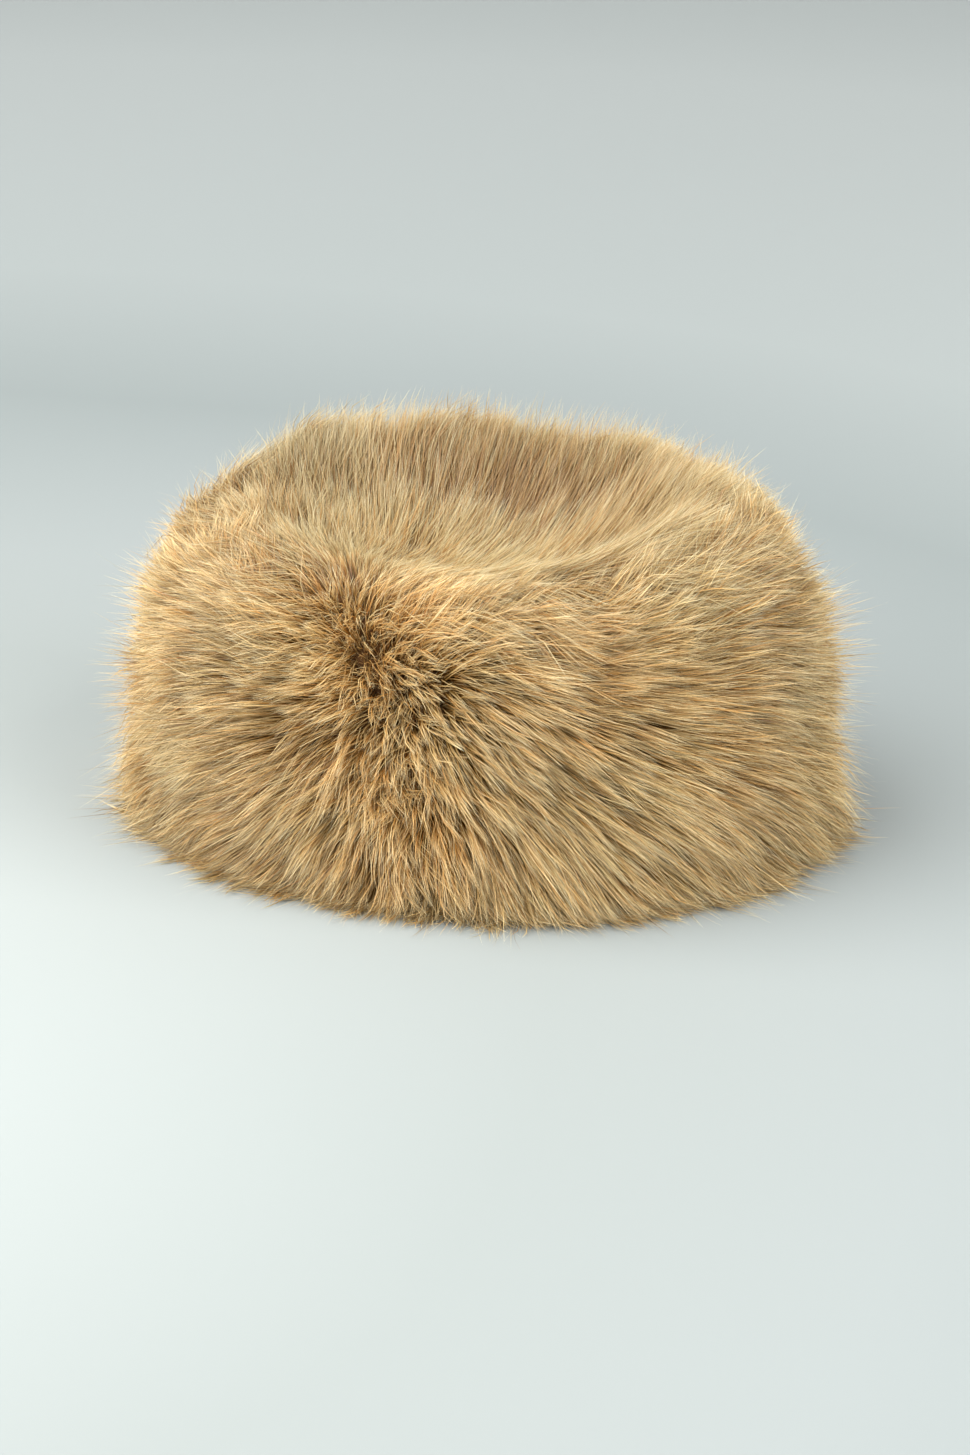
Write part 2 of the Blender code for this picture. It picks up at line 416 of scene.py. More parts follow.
@dataclass(frozen=True)
class HatForm:
    """Sizes of the fabric and of the fur's outer face, metres.

    A place on the hat is an angle round the oval and a way: 0 at the hem, 1 at the crown
    seam and 2 in the crown's middle.
    """

    head_length: float = 0.204
    head_width: float = 0.160
    fabric: float = 0.0025
    band_height: float = 0.102
    band_taper: float = 0.006
    crown_dip: float = 0.012
    pile_depth: float = 0.036
    end_fullness: float = 0.085
    # Columns: waves round the oval, their cosine share and sine share
    slump_waves: tuple = ((1, 0.020, 0.030),)
    rise_waves: tuple = ((1, 0.09, 0.28), (2, 0.09, -0.09), (3, 0.09, 0.03))
    # Columns: way, share of the band's height, rise and reach as shares of pile_depth
    band_face: tuple = (
        (0.00, 0.00, 0.00, 1.02),
        (0.05, 0.04, 0.00, 1.08),
        (0.12, 0.12, 0.00, 1.10),
        (0.22, 0.25, 0.00, 1.10),
        (0.36, 0.43, 0.00, 1.08),
        (0.52, 0.62, 0.00, 1.06),
        (0.68, 0.80, 0.00, 1.00),
        (0.80, 0.94, 0.00, 0.87),
        (0.88, 1.00, 0.24, 0.75),
        (0.94, 1.00, 0.475, 0.60),
        (0.98, 1.00, 0.667, 0.405),
        (1.00, 1.00, 0.76, 0.25),
    )
    # Columns: way, share of the crown oval, rise as a share of pile_depth
    crown_face: tuple = (
        (1.00, 1.09, 0.76),
        (1.03, 1.04, 0.80),
        (1.07, 0.95, 0.833),
        (1.15, 0.87, 0.82),
        (1.30, 0.71, 0.68),
        (1.50, 0.50, 0.47),
        (1.75, 0.25, 0.33),
        (2.00, 0.00, 0.278),
    )

    def wave_share(self, table: tuple, angle: Array) -> Array:
        """Reads a table of waves round the oval.

        Args:
            table: Rows of waves round the oval, cosine share and sine share.
            angle: Angles round the oval.

        Returns:
            The share of the mean at each angle.
        """
        share = np.ones_like(angle)
        for waves, along_cosine, along_sine in table:
            share += along_cosine * np.cos(waves * angle)
            share += along_sine * np.sin(waves * angle)
        return share

    def crown_axes(self) -> Pair:
        """Half length and half width of the crown oval at the seam."""
        inset = self.fabric - self.band_taper
        return self.head_length / 2 + inset, self.head_width / 2 + inset

    def on_oval(
        self, angle: Array, way: Array, out: Array, share: Array, z: tuple
    ) -> Array:
        """Places points round the band and over the crown.

        Args:
            angle: Angles round the oval.
            way: Ways from the hem to the crown's middle.
            out: How far a point of the band is from the head's oval, metres.
            share: A crown point's share of the crown oval.
            z: Heights for points of the band, and for those of the crown.

        Returns:
            The points, three columns.
        """
        half_length, half_width = self.crown_axes()
        x = np.where(way < 1.0, self.head_length / 2 + out, half_length * share)
        y = np.where(way < 1.0, self.head_width / 2 + out, half_width * share)
        height = np.where(way < 1.0, *z)
        return np.stack((x * np.cos(angle), y * np.sin(angle), height), axis=1)

    def skin(self, angle: Array, way: Array) -> Array:
        """Finds points on the fabric's outer face.

        Args:
            angle: Angles round the oval.
            way: Ways from the hem to the crown's middle.

        Returns:
            The points, three columns.
        """
        slump = self.wave_share(self.slump_waves, angle)
        on_band = np.clip(way, 0.0, 1.0)
        out = self.fabric - self.band_taper * on_band
        share = np.clip(2.0 - way, 0.0, 1.0)
        crown_z = (self.band_height + self.fabric) * (1.0 + (slump - 1.0) * share**2)
        crown_z -= self.crown_dip * (1.0 - share**2) ** 2
        band_z = self.band_height * on_band * slump
        return self.on_oval(angle, way, out, share, (band_z, crown_z))

    def fur_face(self, angle: Array, way: Array) -> Array:
        """Finds points on the outer face of the dense fur.

        Args:
            angle: Angles round the oval.
            way: Ways from the hem to the crown's middle.

        Returns:
            The points, three columns.
        """
        slump = self.wave_share(self.slump_waves, angle)
        lift = self.wave_share(self.rise_waves, angle)
        full = 1.0 + self.end_fullness * np.cos(2.0 * angle)
        band = np.array(self.band_face)
        crown = np.array(self.crown_face)
        height = np.interp(way, band[:, 0], band[:, 1])
        rise = np.interp(way, band[:, 0], band[:, 2]) * self.pile_depth * lift
        reach = np.interp(way, band[:, 0], band[:, 3]) * self.pile_depth * full
        out = self.fabric - self.band_taper * height + reach
        band_z = self.band_height * height * slump + rise
        share = np.interp(way, crown[:, 0], crown[:, 1])
        crown_rise = np.interp(way, crown[:, 0], crown[:, 2]) * self.pile_depth
        near_rim = np.clip(share, 0.0, 1.0) ** 2
        crown_z = (self.band_height + self.fabric) * (1.0 + (slump - 1.0) * near_rim)
        crown_z += crown_rise * (1.0 + (lift - 1.0) * near_rim)
        crown_z -= self.crown_dip * (1.0 - near_rim) ** 2
        return self.on_oval(angle, way, out, share, (band_z, crown_z))

    def between(self, angle: Array, way: Array, depth: Array) -> Array:
        """Finds points in the fur at depths of 0 on the fabric to 1 on the outer face."""
        low = self.skin(angle, way)
        return low + (self.fur_face(angle, way) - low) * depth[:, None]

    def face_normal(self, angle: Array, way: Array) -> Array:
        """Finds the outward directions of the dense fur's face.

        Args:
            angle: Angles round the oval.
            way: Ways from the hem to the crown's middle.

        Returns:
            Unit vectors, three columns.
        """
        step = 0.02
        upper = np.clip(way + step, 0.0, 1.999)
        lower = np.clip(way - step, 0.0, 1.999)
        up = self.fur_face(angle, upper) - self.fur_face(angle, lower)
        turn = self.fur_face(angle + step, way) - self.fur_face(angle - step, way)
        turn[way > 1.98] = np.array([0.0, 1e-9, 0.0])
        normal = np.cross(turn, up)
        normal[way > 1.98] = np.array([0.0, 0.0, 1.0])
        return normal / np.maximum(np.linalg.norm(normal, axis=1, keepdims=True), 1e-12)

    def walk(self, angle: Array, way: Array, push: Array) -> tuple[Array, Array]:
        """Moves places over the hat, round the rim where they reach it.

        Args:
            angle: Angles round the oval at the start.
            way: Ways at the start.
            push: Two columns, metres. On the band they are along the oval and up, and on
                the crown they are X and Y.

        Returns:
            The angles and ways at the end.
        """
        half_length, half_width = self.crown_axes()
        mid = 0.6 * self.pile_depth
        speed = np.hypot(
            (self.head_length / 2 + mid) * np.sin(angle),
            (self.head_width / 2 + mid) * np.cos(angle),
        )
        band_angle = angle + push[:, 0] / speed
        band_way = way + push[:, 1] / self.band_height
        share = 2.0 - way
        x = share * half_length * np.cos(angle) + push[:, 0]
        y = share * half_width * np.sin(angle) + push[:, 1]
        crown_angle = np.arctan2(y / half_width, x / half_length)
        share = np.hypot(x / half_length, y / half_width)
        radius = np.hypot(half_length * np.cos(crown_angle), half_width * np.sin(crown_angle))
        over = 1.0 - (share - 1.0) * radius / self.band_height
        crown_way = np.where(share > 1.0, over, 2.0 - share)
        on_band = way < 1.0
        new_angle = np.where(on_band, band_angle, crown_angle)
        new_way = np.where(on_band, band_way, crown_way)
        return new_angle, np.clip(new_way, 0.0, 2.0)


@dataclass(frozen=True)
class Combing:
    """The way in which the fur lies, as pushes of the fibres' tips, metres."""

    form: HatForm
    seam: float = math.radians(-88.0)
    seam_lean: float = math.radians(-9.0)
    parting: float = 0.27
    sideways: float = 0.030
    downward: float = 0.038
    across: float = 0.034
    # Half width of the seam's parting in radians: at the hem, and what it gains to the rim
    valley_wide: Pair = (0.09, 0.12)
    # Ways at which the parting opens and ends, each with the way over which it does so
    valley_foot: Pair = (0.10, 0.30)
    valley_end: Pair = (1.10, 0.12)
    whorl: Pair = (-0.025, -0.073)
    whorl_eye: float = 0.012
    # The crown's nap: its direction, where it takes over from the whorl, and its shares
    nap: float = math.radians(82.0)
    nap_from: float = 0.010
    nap_over: float = 0.026
    nap_skew: float = 0.05
    nap_push: float = 0.48
    nap_calms: float = 0.30
    # The rim: how much of the push outwards it holds back, and how the panels blend
    rim_hold: float = 0.82
    rim_narrow: float = 2.5
    rim_blend: float = 0.30
    rim_reach: float = 1.15

    def from_seam(self, angle: Array, way: Array) -> Array:
        """Finds the angles between places on the band and its upright seam, -pi to pi."""
        line = self.seam + self.seam_lean * np.clip(way, 0.0, 1.0) ** 2
        return (angle - line + np.pi) % (2.0 * np.pi) - np.pi

    def valley(self, angle: Array, way: Array) -> Array:
        """Finds how deep in the seam's parting a place is.

        Args:
            angle: Angles of the roots.
            way: Ways of the roots.

        Returns:
            Shares from 0 to 1.
        """
        off = self.from_seam(angle, way)
        wide = self.valley_wide[0] + self.valley_wide[1] * np.clip(way, 0.0, 1.0)
        opens = np.clip((way - self.valley_foot[0]) / self.valley_foot[1], 0.0, 1.0)
        ends = np.clip((self.valley_end[0] - way) / self.valley_end[1], 0.0, 1.0)
        return np.exp(-((off / wide) ** 2)) * opens * ends

    def crown_lay(self, angle: Array, share: Array) -> tuple[Array, Array, Array, Array]:
        """Finds the lay of the crown's fur: out from the whorl, then turned to the nap.

        Args:
            angle: Angles round the oval.
            share: Shares of the crown oval, over 1 below the rim.

        Returns:
            The shares of the push along the oval and outwards, and the oval's outward
            direction in X and Y.
        """
        half_length, half_width = self.form.crown_axes()
        x = share * half_length * np.cos(angle) - self.whorl[0]
        y = share * half_width * np.sin(angle) - self.whorl[1]
        far = np.maximum(np.hypot(x, y), 1e-6)
        nap_x, nap_y = math.cos(self.nap), math.sin(self.nap)
        behind = x * nap_x + y * nap_y + self.nap_skew * (x * nap_y - y * nap_x)
        turned = smooth_step((behind - self.nap_from) / self.nap_over)
        size = np.tanh(far / self.whorl_eye) / far * (1.0 - self.nap_calms * turned)
        lay_x = x * size + self.nap_push * nap_x * turned
        lay_y = y * size + self.nap_push * nap_y * turned
        out_x, out_y = np.cos(angle) / half_length, np.sin(angle) / half_width
        norm = np.hypot(out_x, out_y)
        out_x, out_y = out_x / norm, out_y / norm
        along = lay_y * out_x - lay_x * out_y
        out = lay_x * out_x + lay_y * out_y
        near_rim = np.clip(share, 0.0, 1.0) ** self.rim_narrow
        out = np.where(out > 0.0, out * (1.0 - self.rim_hold * near_rim), out)
        return along, out, out_x, out_y

    def push(self, angle: Array, way: Array) -> Array:
        """Finds how far the comb pushes a fibre's tip.

        Args:
            angle: Angles of the roots.
            way: Ways of the roots.

        Returns:
            Two columns, as HatForm.walk takes them.
        """
        height = np.clip(way, 0.0, 1.0)
        off = self.from_seam(angle, way)
        pull = np.tanh(off / self.parting) * np.cos(off / 2.0) ** 0.7
        along = self.sideways * pull * (0.15 + 0.85 * np.clip(height / 0.5, 0.0, 1.0) ** 0.8)
        down = -self.downward * np.clip(1.0 - height, 0.0, 1.0) ** 0.85
        rim = smooth_step((height - 1.0 + self.rim_blend) / self.rim_blend)
        share = np.where(way < 1.0, 1.0 + self.rim_reach * (1.0 - height), 2.0 - way)
        lay_along, lay_out, out_x, out_y = self.crown_lay(angle, share)
        along = along + (self.across * lay_along - along) * rim
        down = down + (-self.across * lay_out - down) * rim
        crown = self.across * np.stack(
            (lay_out * out_x - lay_along * out_y, lay_out * out_y + lay_along * out_x), axis=1
        )
        return np.where((way < 1.0)[:, None], np.stack((along, down), axis=1), crown)


@dataclass(frozen=True)
class Patch:
    """A place where the pile differs: its middle and radius in millimetres, then shifts.

    Tone is on the scale of light and dark from 0 to 1, ginger and cream are shares of the
    fibres, lift is a share of the pile's depth, and spread is how far the tips part, as a
    count of Fur's patch_spread. Several patches use tone to paint light and shade.
    """

    middle: tuple[float, float, float]
    radius: float
    tone: float = 0.0
    ginger: float = 0.0
    cream: float = 0.0
    lift: float = 0.0
    spread: float = 0.0

    def weight(self, points: Array) -> Array:
        """Finds how much the patch counts at places in metres, from 0 to 1."""
        far = np.linalg.norm(points / MM - np.array(self.middle), axis=1) / self.radius
        return np.exp(-far * far)


PATCHES = (
    # The flattened pile across the crown's hollow, pale with a painted highlight: a lighter
    # tone and more cream fibres where it faces the light from above
    Patch((-59.0, 14.0, 122.0), 26.0, tone=0.03, cream=0.25, lift=-0.04),
    Patch((-4.0, 13.0, 105.0), 30.0, tone=0.04, cream=0.35, lift=-0.06),
    # The front of the hollow, a step darker in painted shade
    Patch((60.0, -6.0, 122.0), 18.0, tone=-0.10, lift=-0.05),
    Patch((-10.0, -38.0, 118.0), 18.0, tone=-0.08, lift=-0.05),
    Patch((34.0, -28.0, 116.0), 20.0, tone=-0.10, cream=0.10, lift=-0.06),
    # The right front of the crown and its right end, pale again in more cream fibres, with a
    # lower tone that paints shade on them
    Patch((66.0, -61.0, 123.0), 26.0, tone=-0.03, cream=0.20, lift=-0.08),
    Patch((104.0, -20.0, 133.0), 28.0, tone=-0.08, cream=0.25, lift=-0.05),
    # The slope at the crown's back, where the pile stands up and shows its roots
    Patch((-32.0, 46.0, 126.0), 20.0, tone=-0.20, ginger=0.65, lift=-0.04, spread=3.0),
    Patch((4.0, 48.0, 125.0), 22.0, tone=-0.25, ginger=0.75, lift=-0.05, spread=4.0),
    Patch((30.0, 46.0, 124.0), 18.0, tone=-0.16, ginger=0.50, lift=-0.04, spread=3.0),
    # The back rim, darker than the flattened pile in painted shade
    Patch((-84.0, 26.0, 126.0), 36.0, tone=-0.26, cream=0.05),
    Patch((-20.0, 82.0, 136.0), 34.0, tone=-0.16),
    Patch((40.0, 78.0, 138.0), 34.0, tone=-0.14, lift=0.04),
    Patch((98.0, 44.0, 138.0), 30.0, tone=-0.10, lift=-0.10),
    # The fuller shoulder at the right end, darker on that side in painted shade
    Patch((140.0, 2.0, 108.0), 26.0, tone=-0.12, lift=0.14),
    Patch((136.0, -24.0, 60.0), 40.0, tone=-0.14),
    # Browner tufts at the front of the crown
    Patch((-44.0, -70.0, 120.0), 20.0, tone=-0.08, ginger=0.40),
    Patch((-72.0, -56.0, 118.0), 14.0, tone=-0.06, ginger=0.35),
    Patch((8.0, -86.0, 117.0), 17.0, tone=-0.10, ginger=0.45),
    # Small openings between locks, where the tips part, with painted shade in them
    Patch((-14.0, -101.0, 98.0), 11.0, tone=-0.14, ginger=0.20, lift=-0.08, spread=3.0),
    Patch((-75.0, -93.0, 81.0), 8.0, tone=-0.22, ginger=0.30, lift=-0.12, spread=5.0),
    Patch((-45.0, -76.0, 118.0), 8.0, tone=-0.18, ginger=0.30, lift=-0.08, spread=4.0),
    Patch((-56.0, -105.0, 62.0), 9.0, tone=-0.20, lift=-0.10, spread=4.0),
    Patch((-33.0, -110.0, 64.0), 8.0, tone=-0.18, lift=-0.10, spread=4.0),
    Patch((27.0, -104.0, 90.0), 10.0, tone=-0.12, lift=-0.05, spread=0.8),
    Patch((42.0, -101.0, 88.0), 8.0, tone=-0.10, lift=-0.05, spread=0.8),
    Patch((78.0, -90.0, 97.0), 8.0, tone=-0.22, ginger=0.10, lift=-0.08, spread=1.5),
    # A tall tuft on the back rim
    Patch((40.0, 88.0, 140.0), 18.0, lift=0.16),
)


@dataclass
class Wisps:
    """The wisps of the pile, with one value or row of each array for a wisp.

    Four of them are shares from 0 to 1: how deep a wisp stands in the seam's parting
    (valley), on the crown, in the fringe at the hem, and in the band's lower part (low).
    """

    angle: Array
    way: Array
    foot: Array
    push: Array
    valley: Array
    crown: Array
    fringe: Array
    low: Array
    lift: Array
    tone: Array
    ginger: Array
    cream: Array


@dataclass
class Fibres:
    """The fibres of the pile: line and face have the columns fibre, node, XYZ."""

    line: Array
    face: Array
    along: Array
    tone: Array
    dye: Array
    width: Array
    roll: Array
    angle: Array
    way: Array

    def picked(self, pick: Array) -> "Fibres":
        """The fibres for which pick is true."""
        return Fibres(**{name: table[pick] for name, table in vars(self).items()})


@dataclass(frozen=True)
class Fur:
    """The long pile and its undercoat on both panels of the hat.

    Lengths are in metres and turns in radians. Lifts are shares of the pile's depth, tones
    are on the scale of light and dark from 0 to 1, and the rest are shares.
    """

    form: HatForm
    combing: Combing
    seed: int = 7
    wisp_gap: float = 2.3 * MM
    fibres_a_wisp: int = 10
    fibre_width: float = 0.37 * MM
    segments: int = 2

    # Zones: where the crown begins, and how high the fringe and the low part reach
    crown_from: Pair = (0.97, 1.05)
    fringe_top: float = 0.05
    low_top: float = 0.38
    # How much smoother and how much more even in tone the crown is than the band
    crown_calm: float = 0.50
    crown_even: float = 0.84

    # How the wisps wander from the comb: turns, stretch, gathering into locks, scatter.
    # Tousle: how much they turn, and what this gains at the +X end and in the parting
    tousle: tuple[float, float, float] = (0.95, -0.35, 1.1)
    swirls: tuple[Ripple, ...] = (Ripple(11, 0.045, 0.20), Ripple(12, 0.014, 0.20))
    swirl_noise: float = 0.13
    stretch: Ripple = Ripple(13, 0.030, 0.18)
    valley_shorter: float = 0.25
    gathers: tuple[Ripple, ...] = (Ripple(21, 0.010, 2.4 * MM), Ripple(22, 0.010, 2.4 * MM))
    scatter: Pair = (1.3 * MM, 4.0 * MM)
    patch_spread: float = 1.6 * MM

    # How high the wisps stand
    lift_mean: float = 0.96
    lift_wide: Ripple = Ripple(14, 0.035, 0.05)
    lift_fine: Ripple = Ripple(15, 0.011, 0.06)
    lift_noise: float = 0.045
    valley_drop: Pair = (0.03, 0.05)
    fringe_lift: float = 0.26

    # How light the wisps are, with painted light in the parting and at the fringe, and
    # painted shade on the crown and on the band's lower part
    tone_mean: float = 0.56
    # Painted light: wisps in the seam's parting are lighter against the shade in it
    valley_painted_light: float = 0.34
    # Painted light: the fringe's wisps are lighter against the shade under the overhanging pile
    fringe_painted_light: float = 0.50
    # Painted shade: the crown's wisps are darker against the light that falls on the top
    crown_painted_shade: float = -0.15
    # Painted shade: the band's lower part is darker towards the hem
    low_painted_shade: float = -0.38
    tone_waves: tuple[Ripple, ...] = (Ripple(16, 0.05, 0.08), Ripple(17, 0.012, 0.14))
    tone_noise: float = 0.16

    # How the fibres of a wisp part at the root and close at the tip
    root_spread: float = 0.62
    tip_spread: Pair = (0.32, 0.42)
    fibre_size: Pair = (0.94, 0.085)
    fibre_limits: Pair = (0.66, 1.14)
    start: Pair = (0.28, 0.42)
    bow: float = 1.95
    sweep: float = 1.25

    # Strays, which leave their wisp and reach out of the fur
    stray_share: Pair = (0.16, 0.16)
    stray_spread: float = 6.0 * MM
    stray_push: Pair = (0.3, 0.9)
    stray_rim: float = 0.85
    stray_longer: Pair = (0.42, 0.30)
    stray_rarity: float = 1.4
    stray_bow: float = 1.25
    # Strays are lighter, and their extra share in the parting is painted light
    stray_tone_and_painted_light: Pair = (0.12, 0.20)
    stray_width: float = 0.62

    # Limits: heights over the floor, the reach from the origin, and the sharpest bend
    fringe_floor: Pair = (0.5 * MM, 2.5 * MM)
    pile_floor: Pair = (1.0 * MM, 4.5 * MM)
    reach: tuple[float, float, float] = (158.0 * MM, 131.0 * MM, 147.0 * MM)
    squeeze: float = 0.6
    least_straight: float = 0.72

    # How the fibres' tones and dyes are mixed: on the band, in the valley, low down
    tone_mix: tuple[float, float, float] = (0.30, 0.12, 0.26)
    dye_wave: Ripple = Ripple(18, 0.04, 0.16)
    ginger_below: float = 0.20
    cream_above: float = 0.80
    crown_cream: float = 0.15
    fringe_cream: float = 0.40
    width_range: Pair = (0.7, 1.25)
    roll_noise: float = 0.75
    taper: float = 0.78
    tone_columns: int = 64

    # The undercoat: its depth in the pile and the furrows in it
    coat_depth: float = 0.50
    coat_root: float = 0.02
    furrows: tuple[Ripple, ...] = (Ripple(31, 0.012, 0.07), Ripple(32, 0.006, 0.05))
    coat_turns: int = 300
    coat_floor: float = 2.0 * MM

    def wisp_roots(self, random: np.random.Generator) -> tuple[Array, Array]:
        """Sows the wisps evenly over the fur's outer face.

        Args:
            random: The generator to draw from.

        Returns:
            Angles and ways of the wisps' roots.
        """
        ways = np.linspace(0.0, 2.0, 2001)
        profile = self.form.fur_face(np.full(2001, 0.25 * np.pi), ways)
        steps = np.linalg.norm(np.diff(profile, axis=0), axis=1)
        arc = np.concatenate(([0.0], np.cumsum(steps)))
        angles_out, ways_out = [], []
        rows = int(arc[-1] / self.wisp_gap)
        circle = np.linspace(0.0, 2.0 * np.pi, 721)
        for row in range(rows):
            place = (row + 0.5) * arc[-1] / rows
            way = np.interp(place, arc, ways)
            ring = self.form.fur_face(circle, np.full(721, way))
            lengths = np.linalg.norm(np.diff(ring, axis=0), axis=1)
            round_arc = np.concatenate(([0.0], np.cumsum(lengths)))
            count = max(3, int(round_arc[-1] / self.wisp_gap))
            spots = np.arange(count) + random.uniform() + random.uniform(-0.48, 0.48, count)
            spots = (spots / count * round_arc[-1]) % round_arc[-1]
            jitter = random.uniform(-0.6, 0.6, count) * self.wisp_gap
            angles_out.append(np.interp(spots, round_arc, circle))
            ways_out.append(np.interp(np.clip(place + jitter, 0.0, arc[-1]), arc, ways))
        return np.concatenate(angles_out), np.concatenate(ways_out)

    def comb(self, random: np.random.Generator) -> Wisps:
        """Combs the wisps, with the patches in which they differ.

        Args:
            random: The generator to draw from.

        Returns:
            The wisps.
        """
        angle, way = self.wisp_roots(random)
        count = len(angle)
        foot = self.form.skin(angle, way)
        valley = self.combing.valley(angle, way)
        crown_start, crown_full = self.crown_from
        crown = np.clip((way - crown_start) / (crown_full - crown_start), 0.0, 1.0)
        fringe = np.clip(1.0 - way / self.fringe_top, 0.0, 1.0)
        low = np.clip(1.0 - way / self.low_top, 0.0, 1.0)
        rough = 1.0 - self.crown_calm * crown
        plain = 1.0 - self.crown_even * crown

        tousle = self.tousle[0] + self.tousle[1] * np.cos(angle) + self.tousle[2] * valley
        swirl = sum(ripple.at(foot) for ripple in self.swirls)
        swirl += random.normal(0.0, self.swirl_noise, count)
        push = self.turned(self.combing.push(angle, way), swirl * tousle)
        push *= (1.0 + self.stretch.at(foot) - self.valley_shorter * valley)[:, None]
        gather = np.stack([ripple.at(foot) for ripple in self.gathers], axis=1)
        push += rough[:, None] * gather
        scatter = self.scatter[0] + self.scatter[1] * valley
        push += random.normal(0.0, 1.0, (count, 2)) * scatter[:, None]

        lift = self.lift_mean + self.lift_wide.at(foot)
        lift += rough * (self.lift_fine.at(foot) + random.normal(0.0, self.lift_noise, count))
        drop, drop_noise = self.valley_drop
        lift -= (drop + drop_noise * random.normal(0.0, 1.0, count)) * valley
        lift += self.fringe_lift * fringe

        tip_angle, tip_way = self.form.walk(angle, way, 0.75 * push)
        tips = self.form.between(tip_angle, tip_way, np.full(count, 0.95))
        shifts = {"tone": 0.0, "ginger": 0.0, "cream": 0.0, "lift": 0.0}
        for patch in PATCHES:
            weight = patch.weight(tips)
            for kind in shifts:
                shifts[kind] = shifts[kind] + weight * getattr(patch, kind)
            away = (tips - np.array(patch.middle) * MM) / (patch.radius * MM)
            sideways = away[:, 1] * np.cos(angle) - away[:, 0] * np.sin(angle)
            opened = np.where(
                (way < 1.0)[:, None], np.stack((sideways, away[:, 2]), axis=1), away[:, :2]
            )
            push += opened * (weight * patch.spread * self.patch_spread)[:, None]

        # Painted light lifts the parting and the fringe, painted shade darkens the crown and
        # the band's lower part, and the patches add more of both
        tone = self.tone_mean + shifts["tone"] + self.valley_painted_light * valley
        tone += self.fringe_painted_light * fringe + self.crown_painted_shade * crown + self.low_painted_shade * low
        tone += plain * sum(ripple.at(foot) for ripple in self.tone_waves)
        tone += plain * random.normal(0.0, self.tone_noise, count)
        lift += shifts["lift"]
        dyes = (shifts["ginger"], shifts["cream"])
        return Wisps(angle, way, foot, push, valley, crown, fringe, low, lift, tone, *dyes)

    def grow(self) -> Fibres:
        """Grows the fibres of all wisps.

        Returns:
            The fibres.
        """
        random = np.random.default_rng(self.seed)
        wisps = self.comb(random)
        total = len(wisps.angle) * self.fibres_a_wisp
        wisp = np.repeat(np.arange(len(wisps.angle)), self.fibres_a_wisp)
        valley, crown, way = wisps.valley[wisp], wisps.crown[wisp], wisps.way[wisp]
        root_off = random.normal(0.0, self.root_spread * self.wisp_gap, (total, 2))
        clump = (self.tip_spread[0] + self.tip_spread[1] * crown) * self.wisp_gap
        tip_off = random.normal(0.0, 1.0, (total, 2)) * clump[:, None]
        stray = random.uniform(size=total) < self.stray_share[0] + self.stray_share[1] * valley
        strays = int(stray.sum())
        tip_off[stray] = random.normal(0.0, self.stray_spread, (strays, 2))
        root_angle, root_way = self.form.walk(wisps.angle[wisp], way, root_off)
        root_way = np.where(way < 1.0, np.minimum(root_way, 0.999), np.maximum(root_way, 1.001))
        push = wisps.push[wisp] - root_off + tip_off
        push[stray] *= random.uniform(*self.stray_push, (strays, 1))
        size = np.clip(random.normal(*self.fibre_size, total), *self.fibre_limits)
        on_side, on_crown = self.stray_longer
        longer = np.where(root_way[stray] > self.stray_rim, on_crown, on_side)
        size[stray] += random.uniform(0.0, 1.0, strays) ** self.stray_rarity * longer
        bow = np.where(stray, self.stray_bow, self.bow)
        start = random.uniform(*self.start, total)

        nodes = self.segments + 1
        line = np.empty((total, nodes, 3))
        face = np.empty((total, nodes, 3))
        along = np.empty((total, nodes))
        for k in range(nodes):
            part = start + (1.0 - start) * k / self.segments
            swept = push * (part**self.sweep)[:, None]
            node_angle, node_way = self.form.walk(root_angle, root_way, swept)
            rise = 1.0 - np.maximum(1.0 - part, 0.0) ** bow
            line[:, k] = self.form.between(node_angle, node_way, rise * wisps.lift[wisp] * size)
            face[:, k] = self.form.face_normal(node_angle, node_way)
            along[:, k] = part
        on_fringe = random.uniform(*self.fringe_floor, total)
        on_pile = random.uniform(*self.pile_floor, total)
        floor = np.where(root_way < self.fringe_top, on_fringe, on_pile)
        line = self.kept_in(line, floor)

        tone_mix = self.tone_mix[0] * (1.0 - self.crown_even * wisps.crown)
        tone_mix += self.tone_mix[1] * wisps.valley + self.tone_mix[2] * wisps.low
        tone = wisps.tone[wisp] + tone_mix[wisp] * random.normal(0.0, 1.0, total)
        tone[stray] += self.stray_tone_and_painted_light[0] + self.stray_tone_and_painted_light[1] * valley[stray]
        draw = random.uniform(size=total) + self.dye_wave.at(wisps.foot)[wisp]
        cream_above = self.cream_above - wisps.cream[wisp] - self.crown_cream * crown
        cream_above -= self.fringe_cream * wisps.fringe[wisp]
        dye = np.where(draw > cream_above, Dye.CREAM.value, Dye.TAN.value)
        dye = np.where(draw < self.ginger_below + wisps.ginger[wisp], Dye.GINGER.value, dye)
        width = self.fibre_width * random.uniform(*self.width_range, total)
        width[stray] *= self.stray_width
        roll = random.normal(0.0, self.roll_noise, total)
        tone = np.clip(tone, 0.0, 0.999)
        return Fibres(line, face, along, tone, dye, width, roll, root_angle, root_way)

    def kept_in(self, line: Array, floor: Array) -> Array:
        """Keeps fibres over the floor, near the hat and free of sharp bends.

        Args:
            line: The fibres' nodes.
            floor: The lowest height of each fibre.

        Returns:
            The corrected nodes.
        """
        line[:, :, 2] = np.maximum(line[:, :, 2], floor[:, None])
        past = np.maximum(np.abs(line) - np.array(self.reach), 0.0)
        line -= self.squeeze * np.sign(line) * past
        first = line[:, 1] - line[:, 0]
        second = line[:, 2] - line[:, 1]
        sizes = np.linalg.norm(first, axis=1) * np.linalg.norm(second, axis=1)
        straight = (first * second).sum(axis=1) / np.maximum(sizes, 1e-12)
        bent = straight < self.least_straight
        line[bent, 1] = 0.5 * (line[bent, 0] + line[bent, 2])
        return line

